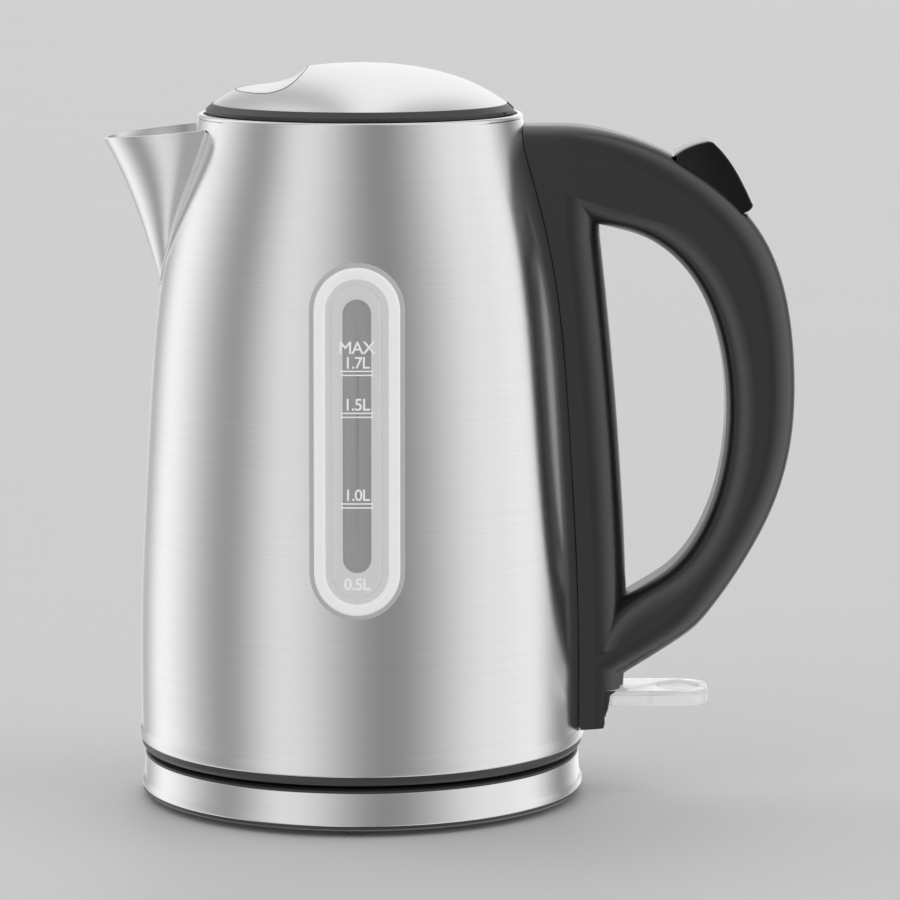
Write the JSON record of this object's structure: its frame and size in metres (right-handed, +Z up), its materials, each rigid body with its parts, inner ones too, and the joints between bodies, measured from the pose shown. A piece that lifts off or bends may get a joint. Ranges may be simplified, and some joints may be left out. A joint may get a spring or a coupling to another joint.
{
  "type": "electric kettle",
  "caption": "Cordless electric jug kettle in brushed steel on a round power base, with a D handle, domed lid, water window and V spout.",
  "frame": {"origin": "on the table plane under the feet, at the kettle's own vertical axis", "axes": "+Z up along the jug's axis of turning; -X towards the spout; +X towards the handle; -Y towards the water window; +Y towards the cord outlet"},
  "size_m": [0.2337, 0.1535, 0.2499],
  "materials": {
    "steel": "fine horizontal brushing, satin",
    "base_steel": "fine horizontal brushing, satin",
    "black_plastic": "satin black moulding",
    "dark_plastic": "satin dark grey moulding",
    "inner_plastic": "plain moulding, out of sight",
    "frame_plastic": "milky white translucent moulding",
    "clear_plastic": "clear moulded plastic",
    "clear_lever": "clear polished plastic",
    "silicone": "translucent grey silicone",
    "rubber": "matt dark grey rubber",
    "plain_steel": "bright steel",
    "brass": "bare brass"
  },
  "bodies": {
    "power_base": {"base_trim_ring": "base_steel", "base_top_housing": "dark_plastic", "base_bottom_cover": "dark_plastic", "base_feet": "rubber", "base_screws": "plain_steel", "base_socket": "inner_plastic", "socket_divider": "inner_plastic", "socket_core": "inner_plastic", "socket_live_contact": "brass", "socket_neutral_contact": "brass", "socket_earth_contact": "brass", "cord_gland": "dark_plastic", "cord_clamp": "inner_plastic"},
    "coupler": {"jug_connector": "inner_plastic", "connector_live_ring": "brass", "connector_neutral_ring": "brass", "connector_earth_pin": "brass"},
    "jug": {"vessel_body": "steel", "spout": "steel", "rim_collar": "dark_plastic", "heating_plate": "plain_steel", "heating_element": "plain_steel", "control_unit": "inner_plastic", "bimetal_disc": "plain_steel", "jug_bottom_cover": "dark_plastic", "bottom_screws": "plain_steel", "window_gasket": "silicone", "window_frame": "frame_plastic", "window_pane": "clear_plastic", "window_retainer": "inner_plastic", "filter_frame": "inner_plastic", "filter_mesh": "plain_steel", "handle_shell": "black_plastic", "handle_inner_cover": "dark_plastic", "handle_screws": "plain_steel", "steam_duct": "inner_plastic", "latch_spring": "plain_steel", "switch_pin": "plain_steel", "switch_housing": "inner_plastic", "indicator_lamp": "clear_lever"},
    "lid": {"lid_shell": "steel", "lid_ring": "dark_plastic", "lid_inner_cover": "inner_plastic", "lid_seal": "silicone", "lid_hinge_pin": "plain_steel", "lid_spring": "plain_steel"},
    "release_button": {"lid_button": "black_plastic"},
    "latch": {"latch_slider": "inner_plastic"},
    "switch": {"switch_lever": "clear_lever"}
  },
  "joints": [
    {"name": "jug_lift", "type": "slide", "parent": "power_base", "child": "coupler", "axis": [0, 0, 1], "range_m": [0, 0.06]},
    {"name": "jug_swivel", "type": "hinge", "parent": "coupler", "child": "jug", "pos_m": [0, 0, 0.02], "axis": [0, 0, 1], "continuous": true},
    {"name": "lid_hinge", "type": "hinge", "parent": "jug", "child": "lid", "pos_m": [0.048, 0, 0.2336], "axis": [0, 1, 0], "range_deg": [0, 75]},
    {"name": "button_press", "type": "slide", "parent": "jug", "child": "release_button", "axis": [-0.6299, 0, -0.7767], "range_m": [0, 0.003], "stiffness_N_per_m": 400, "springref_m": -0.002},
    {"name": "latch_slide", "type": "slide", "parent": "jug", "child": "latch", "axis": [1, 0, 0], "range_m": [0, 0.003], "deforming": ["latch_spring"]},
    {"name": "switch_lever", "type": "hinge", "parent": "jug", "child": "switch", "pos_m": [0.079, 0, 0.0339], "axis": [0, 1, 0], "range_deg": [0, 12]}
  ],
  "couplings": [
    {"joint": "latch_slide", "follows": "button_press", "ratio": 1}
  ]
}
